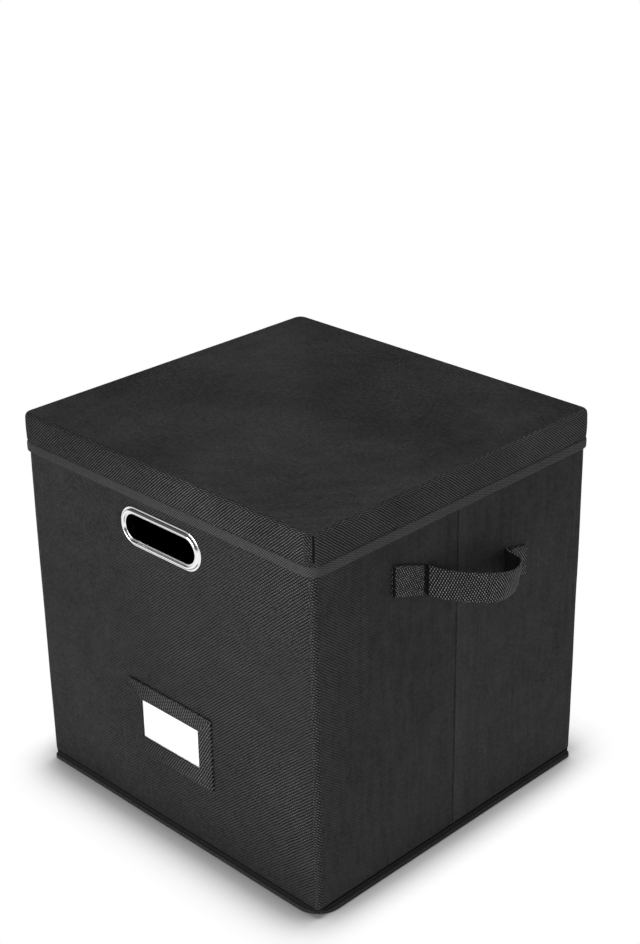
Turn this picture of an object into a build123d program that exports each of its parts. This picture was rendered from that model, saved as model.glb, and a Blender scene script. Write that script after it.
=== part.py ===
"""Record carrying case: a collapsible fabric box with a lift-off lid, metal-rimmed hand holes,
webbing side handles and a card pocket. Millimetres, +Z up, front at -Y, origin under the middle."""
from build123d import *
import os

os.makedirs("parts", exist_ok=True)

# ---- driving dimensions -------------------------------------------------------------------
case_width = 345.0            # over the lid, along X
case_depth = 330.0            # over the lid, along Y
case_height = 341.0           # floor to the top of the lid
lid_height = 34.0             # top of the lid to the lower edge of its binding
lid_overhang = 3.0            # how far the lid stands out past the walls, each side

cloth = 0.8                   # woven outer cloth
wall_board = 2.4              # stiffening board in the walls
lining = 0.8                  # non-woven lining
hem_height = 9.0              # cloth turned down inside the rim

base_height = 8.0             # floor to the top of the welt round the base
base_flare = 1.0              # how far the welt stands out past the walls
base_corner_radius = 15.0     # rounder than the walls' corners, which stand out over it
base_cloth_thickness = 1.0
insert_board_thickness = 3.4

body_height = 336.0           # floor to the rim of the walls
hinge_gap = 0.4               # clearance between panels that fold past each other
crease_gap = 0.2              # half the slit between the two halves of a side wall
wall_corner_radius = 5.0
wall_foot_radius = 2.5

grommet_length = 96.0
grommet_height = 35.0
hand_hole_length = 83.0
hand_hole_height = 22.0
hand_hole_z = 281.0
barrel_wall = 1.0

pocket_width = 102.0
pocket_height = 68.0
pocket_z = 100.5
window_width = 70.0
window_height = 36.0
pocket_seam = 8.0             # sewn margin at the left, bottom and right
pocket_slot = 1.4             # depth of the space the card slides in
pocket_front = 1.0
film = 0.3
card_thickness = 0.5
card_clearance = 0.4

strap_width = 26.0
strap_thickness = 2.0
strap_front_end = -78.0       # the sewn ends' outer edges, along Y
strap_rear_end = 83.0
strap_z = 251.0               # middle of the webbing, level with the crease and flat on the wall
strap_slope = 0.25            # fall for each millimetre towards the back
strap_droop = 0.15            # fall for each millimetre that the loop stands off the wall

lid_cloth = 0.6
lid_top_cloth = 0.8
lid_board = 2.6
skirt_board = 1.0
skirt_lining = 0.4
lid_top_lining = 0.6
binding_height = 8.6
binding_thickness = 0.5
lid_corner_radius = 9.0
lid_crown_radius = 4.0        # along the cover's top edges
lid_board_radius = 2.4        # along the top board's upper edges

# ---- worked out from them -----------------------------------------------------------------
wall = cloth + wall_board + lining
half_width = case_width / 2 - lid_overhang      # outer face of the side walls
half_depth = case_depth / 2 - lid_overhang      # outer face of the front and back walls
inner_half_width = half_width - wall
inner_half_depth = half_depth - wall
hinged_wall_foot = base_height + hinge_gap


def block(x0, x1, y0, y1, z0, z1):
    """A box between two corners."""
    return Pos((x0 + x1) / 2, (y0 + y1) / 2, (z0 + z1) / 2) * Box(x1 - x0, y1 - y0, z1 - z0)


def rounded_block(width, depth, z0, z1, radius):
    """A box about the Z axis with rounded vertical edges."""
    return Pos(0, 0, z0) * extrude(RectangleRounded(width, depth, radius), z1 - z0)


def save(node, shape):
    """Write one sub-part under its node's name."""
    export_step(shape, f"parts/{node}.step")


def save_mirrored(names, shape, about):
    """Write a sub-part and its mirror image."""
    save(names[0], shape)
    save(names[1], mirror(shape, about=about))


# ---- walls --------------------------------------------------------------------------------
def end_wall_block(inset, foot, rim, inner_face):
    """The front wall as a solid block with rounded outer corners, shrunk by inset all round."""
    outer = half_depth - inset
    radius = wall_corner_radius - inset
    length = 2 * (half_width - inset)
    tall = Pos(0, 0, foot) * extrude(RectangleRounded(length, 2 * outer, radius), rim - foot)
    return tall & block(-case_width, case_width, -outer, -inner_face, foot, rim)


def hand_hole_cutter():
    """The oval that the eyelet's barrel fills, cut through the front wall."""
    oval = SlotOverall(hand_hole_length + 2 * barrel_wall, hand_hole_height + 2 * barrel_wall)
    return Pos(0, -half_depth, hand_hole_z) * Rot(90, 0, 0) * extrude(oval, 2 * wall, both=True)


def soften_foot(shape, foot):
    """Round the wall in towards its foot, on the outer face only."""
    edges = shape.edges().filter_by_position(Axis.Z, foot - 0.01, foot + 0.01)
    outer = edges.filter_by_position(Axis.Y, -half_depth - 0.01, -inner_half_depth - 0.01)
    return fillet(outer, wall_foot_radius)


def end_wall(foot):
    """Board, cover and lining of the front wall (the back wall is its mirror image)."""
    hole = hand_hole_cutter()
    whole = end_wall_block(0, foot, body_height, inner_half_depth)
    board = end_wall_block(cloth, foot + 1.5 * cloth, body_height - cloth, inner_half_depth + lining)
    liner = block(-inner_half_width + hinge_gap, inner_half_width - hinge_gap,
                  -inner_half_depth - lining, -inner_half_depth,
                  foot + cloth, body_height - hem_height)
    cover = soften_foot(whole, foot) - board - liner
    return board - hole, cover - hole, liner - hole


def side_wall_half():
    """Board, cover and lining of the left wall's front half, from the corner to the crease."""
    y0 = -inner_half_depth + hinge_gap
    y1 = -crease_gap
    foot = hinged_wall_foot
    whole = block(-half_width, -inner_half_width, y0, y1, foot, body_height)
    outer_foot = whole.edges().filter_by_position(Axis.Z, foot - 0.01, foot + 0.01)
    outer_foot = outer_foot.filter_by_position(Axis.X, -half_width - 0.01, -half_width + 0.01)
    board = block(-half_width + cloth, -inner_half_width - lining,
                  y0 + cloth, y1 - cloth, foot + 1.5 * cloth, body_height - cloth)
    liner = block(-inner_half_width - lining, -inner_half_width,
                  y0 + cloth, y1 - cloth, foot + cloth, body_height - hem_height)
    cover = fillet(outer_foot, wall_foot_radius) - board - liner
    return board, cover, liner


def make_walls():
    """All four walls; the side walls are each two halves that meet at the crease."""
    layers = ("board", "cover", "lining")
    for layer, shape in zip(layers, end_wall(base_height)):
        save(f"front_{layer}", shape)
    for layer, shape in zip(layers, end_wall(hinged_wall_foot)):
        save(f"back_{layer}", mirror(shape, about=Plane.XZ))
    for layer, shape in zip(layers, side_wall_half()):
        save_mirrored((f"left_front_{layer}", f"right_front_{layer}"), shape, Plane.YZ)
        rear = mirror(shape, about=Plane.XZ)
        save_mirrored((f"left_back_{layer}", f"right_back_{layer}"), rear, Plane.YZ)


# ---- base ---------------------------------------------------------------------------------
def make_base():
    """Bottom cloth, the welt sewn round it and the stiff covered insert that lies inside."""
    width = 2 * (half_width + base_flare)
    depth = 2 * (half_depth + base_flare)
    save("base_cloth", rounded_block(width, depth, 0, base_cloth_thickness, base_corner_radius))

    ring = rounded_block(width, depth, base_cloth_thickness, base_height, base_corner_radius)
    top = ring.edges().group_by(Axis.Z)[-1]
    ring = fillet(top, wall_foot_radius)
    ring -= block(-inner_half_width, inner_half_width, -inner_half_depth, inner_half_depth,
                  0, 2 * base_height)
    save("base_welt", ring)

    half_x = inner_half_width - cloth
    half_y = inner_half_depth - cloth
    top_z = base_cloth_thickness + insert_board_thickness
    board = block(-half_x + cloth, half_x - cloth, -half_y + cloth, half_y - cloth,
                  base_cloth_thickness, top_z)
    wrap = block(-half_x, half_x, -half_y, half_y, base_cloth_thickness, top_z + cloth) - board
    save("insert_board", board)
    save("insert_cover", wrap)


# ---- eyelets of the hand holes ------------------------------------------------------------
def oval_prism(length, height, z0, z1):
    """An oval plate with its faces at z0 and z1."""
    return Pos(0, 0, z0) * extrude(SlotOverall(length, height), z1 - z0)


def make_eyelets():
    """Outer ring with its barrel through the wall, and the washer that it is rolled over."""
    plate_thickness = 1.2
    bead_height = 3.4
    bead_width = 4.6
    washer_thickness = 1.0
    roll = 0.6
    roll_width = 2.0

    plate = oval_prism(grommet_length, grommet_height, 0, plate_thickness)
    plate = fillet(plate.edges().group_by(Axis.Z)[-1], plate_thickness * 0.7)
    bead = oval_prism(hand_hole_length + 2 * bead_width, hand_hole_height + 2 * bead_width,
                      0, bead_height)
    bead -= oval_prism(hand_hole_length, hand_hole_height, 0, bead_height)
    bead = fillet(bead.edges().group_by(Axis.Z)[-1], bead_width * 0.4)
    barrel = oval_prism(hand_hole_length + 2 * barrel_wall, hand_hole_height + 2 * barrel_wall,
                        -wall - washer_thickness - roll, 0)
    lip = oval_prism(hand_hole_length + 2 * roll_width + 2 * barrel_wall,
                     hand_hole_height + 2 * roll_width + 2 * barrel_wall,
                     -wall - washer_thickness - roll, -wall - washer_thickness)
    bore = oval_prism(hand_hole_length, hand_hole_height, -2 * wall, 2 * wall)
    ring = plate + bead + barrel + lip - bore

    washer = oval_prism(grommet_length, grommet_height, -wall - washer_thickness, -wall)
    washer -= oval_prism(hand_hole_length + 2 * barrel_wall, hand_hole_height + 2 * barrel_wall,
                         -2 * wall, 2 * wall)

    place = Pos(0, -half_depth, hand_hole_z) * Rot(90, 0, 0)
    save_mirrored(("front_eyelet_ring", "back_eyelet_ring"), place * ring, Plane.XZ)
    save_mirrored(("front_eyelet_washer", "back_eyelet_washer"), place * washer, Plane.XZ)


# ---- card pocket --------------------------------------------------------------------------
def make_card_pocket():
    """Sewn frame open at the top, its clear window film and the card that slides behind it."""
    face = -half_depth
    left = -pocket_width / 2
    right = pocket_width / 2
    bottom = pocket_z - pocket_height / 2
    top = pocket_z + pocket_height / 2
    slot_left = left + pocket_seam
    slot_right = right - pocket_seam
    slot_bottom = bottom + pocket_seam

    frame = block(left, right, face - pocket_slot - pocket_front, face, bottom, top)
    frame -= block(slot_left, slot_right, face - pocket_slot, face, slot_bottom, top)
    frame -= block(-window_width / 2, window_width / 2, face - pocket_slot - pocket_front, face,
                   pocket_z - window_height / 2, pocket_z + window_height / 2)
    save("pocket_frame", frame)

    save("pocket_window", block(slot_left, slot_right, face - pocket_slot,
                                face - pocket_slot + film, slot_bottom, top))

    card_back = face - card_clearance
    save("label_card", block(slot_left + card_clearance, slot_right - card_clearance,
                             card_back - card_thickness, card_back,
                             slot_bottom + card_clearance, top - 2 * card_clearance))


# ---- webbing handles ----------------------------------------------------------------------
# Middle line of the loop seen from above: (place along the wall, stand-off from the wall). The slack
# gathers towards the back, where the webbing turns sharply home.
loop_front = [(-41.0, 1.0), (-38.0, 3.5), (-30.5, 10.5), (-17.5, 19.5), (-crease_gap, 30.0)]
loop_rear = [(crease_gap, 30.2), (11.0, 34.2), (22.0, 35.0), (33.0, 33.0), (43.5, 28.6),
             (51.5, 22.6), (55.5, 16.0), (56.5, 9.5), (57.0, 4.0), (60.0, 1.0)]


def strap_station(along, standoff):
    """A point of the webbing's middle line on the left wall, at its height for that place."""
    fall = strap_slope * along + strap_droop * (standoff - strap_thickness / 2)
    return Vector(-half_width - standoff, along, strap_z - fall)


def strap_section(here, before, after):
    """The webbing's upright cross section at one station, square to the path."""
    run = Vector(after.X - before.X, after.Y - before.Y, 0).normalized()
    side = Vector(-run.Y, run.X, 0) * (strap_thickness / 2)
    rise = Vector(0, 0, strap_width / 2)
    return Wire.make_polygon([here + side - rise, here + side + rise,
                              here - side + rise, here - side - rise])


def strap_half(stations):
    """One half of the handle: its sewn end flat on the wall and its share of the loop."""
    path = [strap_station(along, standoff) for along, standoff in stations]
    last = len(path) - 1
    sections = [strap_section(here, path[max(i - 1, 0)], path[min(i + 1, last)])
                for i, here in enumerate(path)]
    return Solid.make_loft(sections, ruled=True)


def make_straps():
    """A handle on each side wall, in two halves that part at the wall's crease."""
    flat = strap_thickness / 2
    front_half = strap_half([(strap_front_end, flat)] + loop_front)
    rear_half = strap_half(loop_rear + [(strap_rear_end, flat)])
    save_mirrored(("left_strap_front_half", "right_strap_front_half"), front_half, Plane.YZ)
    save_mirrored(("left_strap_rear_half", "right_strap_rear_half"), rear_half, Plane.YZ)


# ---- lid ----------------------------------------------------------------------------------
def make_lid():
    """Top board and four skirt boards in a cloth cover, lined, with a bound lower edge."""
    cloth_half_x = case_width / 2 - binding_thickness
    cloth_half_y = case_depth / 2 - binding_thickness
    skirt_foot = case_height - lid_height + binding_thickness
    board_half_x = cloth_half_x - lid_cloth
    board_half_y = cloth_half_y - lid_cloth
    board_top = case_height - lid_top_cloth
    board_foot = board_top - lid_board

    shell = rounded_block(2 * cloth_half_x, 2 * cloth_half_y, skirt_foot, case_height,
                          lid_corner_radius)
    shell = fillet(shell.edges().group_by(Axis.Z)[-1], lid_crown_radius)
    core_radius = lid_corner_radius - lid_cloth
    top = rounded_block(2 * board_half_x, 2 * board_half_y, board_foot, board_top, core_radius)
    top = fillet(top.edges().group_by(Axis.Z)[-1], lid_board_radius)
    hollow = rounded_block(2 * board_half_x, 2 * board_half_y, 0, board_foot, core_radius)
    save("lid_cover", shell - top - hollow)
    save("lid_top_board", top)

    def skirt(x0, x1, y0, y1):
        return block(x0, x1, y0, y1, skirt_foot, board_foot)

    front = skirt(-board_half_x, board_half_x, -board_half_y, -board_half_y + skirt_board) & hollow
    left = skirt(-board_half_x, -board_half_x + skirt_board,
                 -board_half_y + skirt_board, board_half_y - skirt_board) & hollow
    save_mirrored(("lid_front_skirt_board", "lid_back_skirt_board"), front, Plane.XZ)
    save_mirrored(("lid_left_skirt_board", "lid_right_skirt_board"), left, Plane.YZ)

    lining_half_x = board_half_x - skirt_board
    lining_half_y = board_half_y - skirt_board
    inside_x = lining_half_x - skirt_lining
    inside_y = lining_half_y - skirt_lining
    inside_corner = wall_corner_radius + inside_x - half_width
    liner = (block(-lining_half_x, lining_half_x, -lining_half_y, lining_half_y, skirt_foot, board_foot)
             & hollow)
    liner -= rounded_block(2 * inside_x, 2 * inside_y, 0, board_foot - lid_top_lining, inside_corner)
    save("lid_lining", liner)

    foot = case_height - lid_height
    band = rounded_block(case_width, case_depth, foot, foot + binding_height, lid_corner_radius)
    band -= rounded_block(2 * cloth_half_x, 2 * cloth_half_y, skirt_foot, case_height,
                          lid_corner_radius)
    band -= rounded_block(2 * inside_x, 2 * inside_y, 0, case_height, inside_corner)
    save("lid_binding", band)


make_base()
make_walls()
make_eyelets()
make_card_pocket()
make_straps()
make_lid()
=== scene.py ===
"""Looks of the record carrying case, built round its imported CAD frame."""

import math

import bmesh
import bpy
from mathutils import Matrix, Vector, noise


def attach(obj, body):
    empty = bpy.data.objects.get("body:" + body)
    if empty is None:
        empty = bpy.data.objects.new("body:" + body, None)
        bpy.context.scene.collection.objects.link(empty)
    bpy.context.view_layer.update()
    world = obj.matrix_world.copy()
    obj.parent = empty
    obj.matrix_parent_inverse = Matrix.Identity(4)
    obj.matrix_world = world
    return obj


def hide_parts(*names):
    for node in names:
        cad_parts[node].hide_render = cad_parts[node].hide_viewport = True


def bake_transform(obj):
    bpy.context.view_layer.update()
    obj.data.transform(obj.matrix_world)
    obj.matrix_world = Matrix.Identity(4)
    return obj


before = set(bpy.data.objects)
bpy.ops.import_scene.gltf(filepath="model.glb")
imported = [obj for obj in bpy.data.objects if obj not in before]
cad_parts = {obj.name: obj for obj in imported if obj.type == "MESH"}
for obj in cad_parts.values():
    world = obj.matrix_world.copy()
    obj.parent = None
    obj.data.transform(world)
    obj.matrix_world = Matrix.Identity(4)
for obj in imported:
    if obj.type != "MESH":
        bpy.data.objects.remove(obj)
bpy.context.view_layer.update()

MM = 0.001
X = Vector((1, 0, 0))
Y = Vector((0, 1, 0))
Z = Vector((0, 0, 1))

# ---- sizes shared with the part ----
wall_x, wall_y = 169.5, 162.0  # outer faces of the walls
wall_corner = 5.0
wall = 4.0
rim = 336.0
front_foot, hinged_foot = 8.0, 8.4
hem_height = 9.0
hole_length, hole_height, hole_z = 83.0, 22.0, 281.0
lid_x, lid_y = 172.0, 164.5  # outer faces of the lid's cloth
lid_corner = 9.0
lid_foot, lid_top = 307.0, 341.0
hinge_x, hinge_y = 165.0, 158.0  # corner fold lines
pocket_z, pocket_half_width, pocket_half_height = 100.5, 51.0, 34.0


# ---- mesh building ----
def mesh_object(name, points, faces, uvs, material):
    """A smooth mesh with its cloth coordinates, from millimetre points."""
    mesh = bpy.data.meshes.new(name)
    mesh.from_pydata([Vector(p) * MM for p in points], [], faces)
    layer = mesh.uv_layers.new(name="cloth")
    for polygon, corners in zip(mesh.polygons, uvs):
        for loop, corner in zip(polygon.loop_indices, corners):
            layer.data[loop].uv = (corner[0] * MM, corner[1] * MM)
    mesh.materials.append(material)
    mesh.shade_smooth()
    obj = bpy.data.objects.new(name, mesh)
    bpy.context.scene.collection.objects.link(obj)
    return obj


def add_finishes(obj, *finishes):
    """Further materials, which some of the faces take by their material_index."""
    for finish in finishes:
        obj.data.materials.append(finish)


def running_length(points, closed=False):
    """Distance along a line of points, one value for each point and one more when it closes."""
    out = [0.0]
    line = list(points) + ([points[0]] if closed else [])
    for a, b in zip(line, line[1:]):
        out.append(out[-1] + (Vector(b) - Vector(a)).length)
    return out


def sweep(name, stations, profile, material, closed=False, loop=False, spans=None, puff=None,
          caps=False, turned=False):
    """A surface swept through stations (origin, out, up); profile is (out, up) pairs.
    closed joins the last station to the first, loop does so in the profile, spans gives each
    strip's own pair of u values, puff moves a point along out, and turned flips the faces."""
    columns = len(stations)
    rows = len(profile)
    points = []
    for origin, out, up in stations:
        for p, q in profile:
            point = origin + out * p + up * q
            if puff:
                point = point + out * puff(point, p, q)
            points.append(point)
    along = running_length([s[0] for s in stations], closed)
    across = running_length([(p, q, 0) for p, q in profile], loop)
    faces, uvs = [], []
    for c in range(columns if closed else columns - 1):
        d = (c + 1) % columns
        u0, u1 = spans[c] if spans else (along[c], along[c + 1])
        for r in range(rows if loop else rows - 1):
            s = (r + 1) % rows
            face = [c * rows + r, d * rows + r, d * rows + s, c * rows + s]
            uv = [(u0, across[r]), (u1, across[r]), (u1, across[r + 1]), (u0, across[r + 1])]
            faces.append(face[::-1] if turned else face)
            uvs.append(uv[::-1] if turned else uv)
    if caps:
        for c, flip in ((0, True), (columns - 1, False)):
            face = [c * rows + r for r in range(rows)]
            uv = list(profile)
            faces.append(face[::-1] if flip else face)
            uvs.append(uv[::-1] if flip else uv)
    return mesh_object(name, points, faces, uvs, material)


def applied(obj, kind, **settings):
    """Adds one modifier and makes it permanent."""
    modifier = obj.modifiers.new(kind.lower(), kind)
    for key, value in settings.items():
        setattr(modifier, key, value)
    evaluated = obj.evaluated_get(bpy.context.evaluated_depsgraph_get())
    shaped = bpy.data.meshes.new_from_object(evaluated)
    obj.modifiers.clear()
    old = obj.data
    obj.data = shaped
    bpy.data.meshes.remove(old)
    shaped.name = obj.name
    return obj


def thickened(obj):
    """Gives a sheet of cloth its thickness, inwards."""
    return applied(obj, "SOLIDIFY", thickness=0.6 * MM, offset=-1.0, use_even_offset=False)


def spread(a, b, step):
    """Evenly spaced values from a to b, ends included."""
    count = max(1, round(abs(b - a) / step))
    return [a + (b - a) * i / count for i in range(count + 1)]


def corner_line(cx, cy, radius, start, end, count):
    """Points and outward normals of an arc in plan, angles in degrees."""
    line = []
    for i in range(count + 1):
        angle = math.radians(start + (end - start) * i / count)
        normal = Vector((math.cos(angle), math.sin(angle), 0))
        line.append((Vector((cx, cy, 0)) + normal * radius, normal, Z))
    return line


def ring_line(half_x, half_y, radius, step, corner_steps):
    """Closed counter-clockwise line round a rounded rectangle, from the front side's left end."""
    sx, sy = half_x - radius, half_y - radius
    line = []
    for start, end, normal, corner, turn in (
            ((-sx, -half_y), (sx, -half_y), -Y, (sx, -sy), -90),
            ((half_x, -sy), (half_x, sy), X, (sx, sy), 0),
            ((sx, half_y), (-sx, half_y), Y, (-sx, sy), 90),
            ((-half_x, sy), (-half_x, -sy), -X, (-sx, -sy), 180)):
        a, b = Vector((*start, 0)), Vector((*end, 0))
        length = (b - a).length
        line += [(a + (b - a) * (p / length), normal, Z) for p in spread(0.0, length, step)]
        line += corner_line(*corner, radius, turn, turn + 90, corner_steps)[1:-1]
    return line


def stadium_line(length, height, centre, face):
    """Closed line round an oval opening in a wall; face is the wall's outward direction."""
    arc_steps = 30
    right = face.cross(Z) * -1
    radius = height / 2
    reach = (length - height) / 2
    line = []
    for middle, start in ((reach, -90), (-reach, 90)):
        for i in range(arc_steps + 1):
            angle = math.radians(start + 180 * i / arc_steps)
            out = right * math.cos(angle) + Z * math.sin(angle)
            line.append((centre + right * middle + out * radius, out, face))
    filled = []
    for i, station in enumerate(line):
        filled.append(station)
        after = line[(i + 1) % len(line)]
        if (after[0] - station[0]).length > radius:
            for t in (0.2, 0.4, 0.6, 0.8):
                filled.append((station[0].lerp(after[0], t), station[1], face))
    return filled


def ripple(point, pitch, seed):
    """Soft noise in plan, for cloth that isn't quite straight."""
    return noise.noise(Vector((point.x * pitch, point.y * pitch, seed)))


# ---- materials ----
class Shading:
    """Builds one node material."""

    def __init__(self, name):
        self.material = bpy.data.materials.new(name)
        self.material.use_nodes = True
        self.tree = self.material.node_tree
        self.tree.nodes.clear()
        self.output = self.add("ShaderNodeOutputMaterial")

    def add(self, kind, inputs=(), **settings):
        """A new node; inputs gives numbers, colours or sockets by the inputs' names or places."""
        node = self.tree.nodes.new(kind)
        for key, value in settings.items():
            setattr(node, key, value)
        for key, value in dict(inputs).items():
            if isinstance(value, bpy.types.NodeSocket):
                self.tree.links.new(value, node.inputs[key])
            else:
                node.inputs[key].default_value = value
        return node

    def show(self, shader):
        """Links a shader to the output, in place of the one before."""
        self.tree.links.new(shader.outputs[0], self.output.inputs["Surface"])

    def math(self, operation, a, b=0):
        return self.add("ShaderNodeMath", {0: a, 1: b}, operation=operation).outputs[0]

    def chain(self, operation, first, *others):
        """One operation on several values in turn, such as a sum."""
        for value in others:
            first = self.math(operation, first, value)
        return first

    def noise(self, coordinates, scale, detail=2, rough=0.5):
        inputs = {"Vector": coordinates, "Scale": scale, "Detail": detail, "Roughness": rough}
        return self.add("ShaderNodeTexNoise", inputs).outputs["Fac"]

    def scaled(self, value, low, high, from_low=0, from_high=1):
        inputs = {"Value": value, "From Min": from_low, "From Max": from_high, "To Min": low,
                  "To Max": high}
        return self.add("ShaderNodeMapRange", inputs).outputs["Result"]

    def wave(self, value, pitch, low):
        """A sine between low and 1 whose period is pitch millimetres."""
        turns = self.math("MULTIPLY", value, 2 * math.pi / (pitch * MM))
        return self.scaled(self.math("SINE", turns), low, 1, -1)

    def blend(self, factor, a, b):
        inputs = {"Factor": factor, "A": a, "B": b}
        return self.add("ShaderNodeMix", inputs, data_type="RGBA").outputs["Result"]

    def cloth_place(self):
        return self.add("ShaderNodeUVMap", uv_map="cloth").outputs["UV"]

    def object_place(self):
        return self.add("ShaderNodeTexCoord").outputs["Object"]

    def first_two(self, coordinates):
        """The x and y of coordinates, or the u and v."""
        node = self.add("ShaderNodeSeparateXYZ", {0: coordinates})
        return node.outputs[0], node.outputs[1]

    def surface(self, colour, roughness, height=None, strength=0.3, distance=0.3, metallic=0,
                specular=0.5):
        """Shows one principled shader; height drives a bump of distance millimetres."""
        inputs = {"Base Color": colour, "Roughness": roughness, "Metallic": metallic,
                  "Specular IOR Level": specular}
        if height is not None:
            bump = {"Strength": strength, "Distance": distance * MM, "Height": height}
            inputs["Normal"] = self.add("ShaderNodeBump", bump).outputs["Normal"]
        shader = self.add("ShaderNodeBsdfPrincipled", inputs)
        self.show(shader)
        return shader

    def mixed(self, factor, first, second):
        """Shows two shaders, mixed by factor."""
        inputs = {0: factor, 1: first.outputs[0], 2: second.outputs[0]}
        self.show(self.add("ShaderNodeMixShader", inputs))


def grey(level):
    """A grey with the faint blue of black cloth."""
    return (level, level, level * 1.03, 1)


def woven(name, dark, light, rib, bead, slant, depth, contrast, mean, fleck=0.45, wander=0.00025,
          bead_floor=0.2, lean=None, foot=None, streak=0, crease=None):
    """Cloth with slanting ribs broken into beads; rib and bead are pitches in millimetres, slant
    is in degrees, contrast is how far the ribs part dark from light, where faint and where plain,
    and mean is the tone between dark and light. lean gives, at two places across the wall, a
    share of the contrast and of the tone, foot those at the wall's foot and up to what height.
    streak adds upright streaks, and crease paints a fold in light and shade: its place, how dark
    the painted shade of its line is, how much lighter the painted light behind it is, and how far
    that reaches."""
    s = Shading(name)
    place = s.cloth_place()
    place_u, place_v = s.first_two(place)
    shift = s.scaled(s.noise(place, 70, 3, 0.6), -wander, wander, 0.3, 0.7)
    u = s.math("ADD", place_u, shift)
    v = s.math("SUBTRACT", place_v, shift)
    cos, sin = math.cos(math.radians(slant)), math.sin(math.radians(slant))
    across = s.math("SUBTRACT", s.math("MULTIPLY", v, cos), s.math("MULTIPLY", u, sin))
    along = s.math("ADD", s.math("MULTIPLY", u, cos), s.math("MULTIPLY", v, sin))
    stepped = s.math("ADD", along, s.math("MULTIPLY", across, 0.5 * bead / rib))
    weave = s.math("MULTIPLY", s.wave(across, rib, 0), s.wave(stepped, bead, bead_floor))
    patchy = s.scaled(s.noise(place, 8, 3, 0.6), *contrast, 0.36, 0.64)
    tone = mean
    if lean:
        (from_u, from_share, from_tone), (to_u, to_share, to_tone) = lean
        ends = from_u * MM, to_u * MM
        patchy = s.math("MULTIPLY", patchy, s.scaled(place_u, from_share, to_share, *ends))
        tone = s.scaled(place_u, mean * from_tone, mean * to_tone, *ends)
    if foot:
        height, foot_share, foot_tone = foot
        ends = 0, height * MM
        patchy = s.math("MULTIPLY", patchy, s.scaled(place_v, foot_share, 1, *ends))
        tone = s.math("MULTIPLY", tone, s.scaled(place_v, foot_tone, 1, *ends))
    if streak:
        drawn = s.add("ShaderNodeMapping", {"Vector": place, "Scale": (1, 0.12, 1)})
        streaks = s.scaled(s.noise(drawn.outputs[0], 170, 3, 0.7), -streak, streak, 0.3, 0.7)
        tone = s.math("ADD", tone, streaks)
    # Painted shade: a dark line along the crease; painted light: a lighter band of cloth behind
    # it.
    if crease:
        crease_u, line, lift, reach = crease
        behind = s.math("SUBTRACT", crease_u * MM, place_u)
        painted_light_behind_crease = s.math("MULTIPLY", s.scaled(behind, 0, 1, -0.3 * MM, 1.2 * MM),
                           s.scaled(behind, lift, 0.15 * lift, 2 * MM, reach * MM))
        from_line = s.math("ABSOLUTE", s.math("ADD", behind, 0.4 * MM))
        fold = s.scaled(from_line, -line, 0, 0.5 * MM, 1.5 * MM)
        tone = s.chain("ADD", tone, painted_light_behind_crease, fold)
    flecks = s.scaled(s.noise(place, 330, 2, 0.7), 1.0 - fleck, 1.0 + fleck, 0.3, 0.7)
    level = s.chain("MULTIPLY", s.math("SUBTRACT", weave, 0.3), patchy, flecks)
    worn = s.scaled(s.noise(place, 4, 5, 0.65), -0.05, 0.05, 0.3, 0.7)
    lint = s.scaled(s.noise(place, 260, 4, 0.8), -0.10, 0.10, 0.25, 0.75)
    factor = s.chain("ADD", level, tone, worn, lint)
    factor = s.math("MINIMUM", s.math("MAXIMUM", factor, 0), 1)
    colour = s.blend(factor, grey(dark), grey(light))
    rough = s.scaled(s.noise(place, 60, 3), 0.75, 0.95, 0.3, 0.7)
    s.surface(colour, rough, weave, 0.5, depth, specular=0.12)
    return s.material


def felt(name, level, on_cloth=False):
    """Pressed non-woven lining, laid out by the cloth coordinates or by the object's."""
    s = Shading(name)
    place = s.cloth_place() if on_cloth else s.object_place()
    fibres = s.noise(place, 700, 5, 0.7)
    dots = s.add("ShaderNodeTexVoronoi", {"Vector": place, "Scale": 420.0},
                 feature="DISTANCE_TO_EDGE")
    height = s.math("ADD", s.math("MULTIPLY", fibres, 0.7),
                    s.math("MULTIPLY", dots.outputs["Distance"], 0.5))
    colour = s.blend(s.scaled(height, 0, 1, 0.3, 0.7), grey(level * 0.75), grey(level * 1.3))
    rough = s.scaled(s.noise(place, 40), 0.85, 0.97)
    s.surface(colour, rough, height, 0.35, 0.25, specular=0.15)
    return s.material


def metal(name):
    s = Shading(name)
    place = s.object_place()
    haze = s.noise(place, 120, 4, 0.6)
    colour = s.blend(s.scaled(haze, 0, 1, 0.3, 0.7),
                     (0.86, 0.86, 0.87, 1), (0.93, 0.93, 0.94, 1))
    rough = s.scaled(haze, 0.05, 0.13, 0.3, 0.7)
    s.surface(colour, rough, s.noise(place, 260, 2), 0.015, 0.05, metallic=1)
    return s.material


def pressed(name, fibres, between, dark, light, rough, relief):
    """Board or paper; fibres is the noise's scale, detail and roughness, between its range."""
    s = Shading(name)
    fibre = s.noise(s.object_place(), *fibres)
    colour = s.blend(s.scaled(fibre, 0, 1, *between), dark, light)
    s.surface(colour, s.scaled(fibre, *rough), fibre, relief, relief, specular=0.2)
    return s.material


def clear_film(name):
    s = Shading(name)
    uneven = s.noise(s.object_place(), 30, 2)
    gloss = s.add("ShaderNodeBsdfGlossy", {"Roughness": s.scaled(uneven, 0.05, 0.16)})
    s.mixed(s.scaled(uneven, 0.03, 0.06), s.add("ShaderNodeBsdfTransparent"), gloss)
    return s.material


def thread_finish(name, level, shine=0.3):
    s = Shading(name)
    twist = s.noise(s.object_place(), 1500, 2)
    colour = s.blend(twist, grey(level * 0.6), grey(level * 1.5))
    s.surface(colour, s.scaled(twist, 0.6, 0.85), twist, 0.3, 0.1, specular=shine)
    return s.material


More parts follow.
